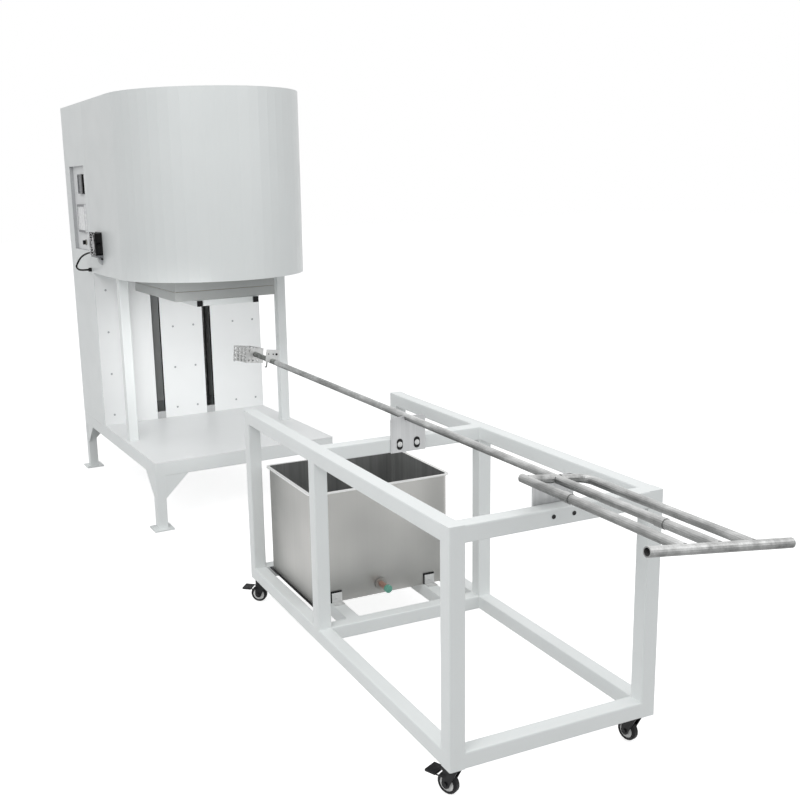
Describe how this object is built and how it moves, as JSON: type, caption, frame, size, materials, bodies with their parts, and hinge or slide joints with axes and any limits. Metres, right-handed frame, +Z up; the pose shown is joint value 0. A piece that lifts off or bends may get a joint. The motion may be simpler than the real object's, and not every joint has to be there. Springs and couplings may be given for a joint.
{
  "type": "elevator furnace",
  "caption": "Bottom loading elevator furnace on a table, with a rolling quench tank cart and a sliding loading fork.",
  "frame": {"origin": "middle of the whole set's bounding box, on the floor", "axes": "+Z up, the furnace's front and the cart towards -Y, +X to the right seen from the front"},
  "size_m": [1.0778, 4.6786, 2.124],
  "materials": {
    "coat": "satin powder coat",
    "panel": "satin powder coat",
    "zinc": "zinc plated",
    "stainless": "brushed",
    "chrome": "bright",
    "black_plastic": "satin",
    "black_metal": "satin",
    "tyre": "rubber tread on a plastic core",
    "fibre": "ceramic fibre",
    "refractory": "refractory brick",
    "grey": "satin",
    "screen": "display window",
    "brass": "satin",
    "element": "oxidised resistance alloy"
  },
  "bodies": {
    "furnace": {"table_frame": "coat", "table_plate": "panel", "cabinet_shell": "coat", "panel_left": "panel", "panel_middle": "panel", "panel_right": "panel", "slot_sill_left": "zinc", "slot_sill_right": "zinc", "front_post_left": "coat", "front_post_right": "coat", "casing_shell": "coat", "casing_floor": "coat", "chamber_shell": "coat", "chamber_lining": "fibre", "heating_element_left": "element", "heating_element_right": "element", "thermocouple": "stainless", "control_panel": "panel", "temperature_controller": "grey", "controller_strip": "black_plastic", "recorder_bezel": "grey", "recorder_screen": "screen", "selector_ring": "zinc", "fan_housing": "black_plastic", "fan_guard": "chrome", "fan_lead": "black_plastic", "lead_gland": "black_plastic", "guide_rail_left": "stainless", "guide_rail_right": "stainless", "lift_cylinder": "zinc"},
    "hearth_lift": {"lift_arms": "coat", "arm_cap_left": "black_plastic", "arm_cap_right": "black_plastic", "hearth_tray": "coat", "hearth_plug": "refractory", "lift_carriage": "grey", "lift_rod": "chrome"},
    "selector": {"selector_knob": "black_plastic"},
    "fan_impeller": {"fan_rotor": "black_plastic"},
    "cart": {"cart_frame": "coat", "tank": "stainless", "drain_fitting": "brass", "saddle_front": "zinc", "saddle_rear": "zinc", "tank_bracket_near": "zinc", "tank_bracket_far": "zinc"},
    "loading_fork": {"fork_rod": "stainless", "fork_handle": "stainless", "basket": "stainless", "basket_bracket": "stainless"},
    "caster_near_front": {"caster_fork_near_front": "black_metal"},
    "wheel_near_front": {"wheel_near_front": "tyre"},
    "brake_near_front": {"brake_pedal_near_front": "black_metal"},
    "caster_far_front": {"caster_fork_far_front": "black_metal"},
    "wheel_far_front": {"wheel_far_front": "tyre"},
    "caster_near_back": {"caster_fork_near_back": "black_metal"},
    "wheel_near_back": {"wheel_near_back": "tyre"},
    "brake_near_back": {"brake_pedal_near_back": "black_metal"},
    "caster_far_back": {"caster_fork_far_back": "black_metal"},
    "wheel_far_back": {"wheel_far_back": "tyre"}
  },
  "joints": [
    {"name": "hearth_lift", "type": "slide", "parent": "furnace", "child": "hearth_lift", "axis": [0, 0, 1], "range_m": [-0.6, 0]},
    {"name": "selector_turn", "type": "hinge", "parent": "furnace", "child": "selector", "pos_m": [-0.46085, 2.0144, 1.375], "axis": [-1, 0, 0], "range_deg": [-60, 60]},
    {"name": "fan_spin", "type": "hinge", "parent": "furnace", "child": "fan_impeller", "pos_m": [-0.48055, 1.6444, 1.385], "axis": [-1, 0, 0], "continuous": true},
    {"name": "cart_roll", "type": "slide", "parent": "furnace", "child": "cart", "axis": [-0.0511, -0.9987, 0], "range_m": [-0.7, 0.5]},
    {"name": "fork_slide", "type": "slide", "parent": "cart", "child": "loading_fork", "axis": [-0.0511, -0.9987, 0], "range_m": [0, 1.1]},
    {"name": "swivel_near_front", "type": "hinge", "parent": "cart", "child": "caster_near_front", "pos_m": [-0.36965, -0.17779, 0], "axis": [0, 0, 1], "continuous": true},
    {"name": "wheel_spin_near_front", "type": "hinge", "parent": "caster_near_front", "child": "wheel_near_front", "pos_m": [-0.38576, -0.1628, 0.0325], "axis": [0.6811, 0.7322, 0], "continuous": true},
    {"name": "brake_near_front", "type": "hinge", "parent": "caster_near_front", "child": "brake_near_front", "pos_m": [-0.38576, -0.1628, 0.0475], "axis": [0.6811, 0.7322, 0], "range_deg": [-10, 0]},
    {"name": "swivel_far_front", "type": "hinge", "parent": "cart", "child": "caster_far_front", "pos_m": [0.24954, -0.20948, 0], "axis": [0, 0, 1], "continuous": true},
    {"name": "wheel_spin_far_front", "type": "hinge", "parent": "caster_far_front", "child": "wheel_far_front", "pos_m": [0.24308, -0.18845, 0.0325], "axis": [0.9559, 0.2935, 0], "continuous": true},
    {"name": "swivel_near_back", "type": "hinge", "parent": "cart", "child": "caster_near_back", "pos_m": [-0.44734, -1.6958, 0], "axis": [0, 0, 1], "continuous": true},
    {"name": "wheel_spin_near_back", "type": "hinge", "parent": "caster_near_back", "child": "wheel_near_back", "pos_m": [-0.45561, -1.67541, 0.0325], "axis": [0.9267, 0.3757, 0], "continuous": true},
    {"name": "brake_near_back", "type": "hinge", "parent": "caster_near_back", "child": "brake_near_back", "pos_m": [-0.45561, -1.67541, 0.0475], "axis": [0.9267, 0.3757, 0], "range_deg": [-10, 0]},
    {"name": "swivel_far_back", "type": "hinge", "parent": "cart", "child": "caster_far_back", "pos_m": [0.17185, -1.72749, 0], "axis": [0, 0, 1], "continuous": true},
    {"name": "wheel_spin_far_back", "type": "hinge", "parent": "caster_far_back", "child": "wheel_far_back", "pos_m": [0.16914, -1.70566, 0.0325], "axis": [0.9924, 0.1231, 0], "continuous": true}
  ]
}
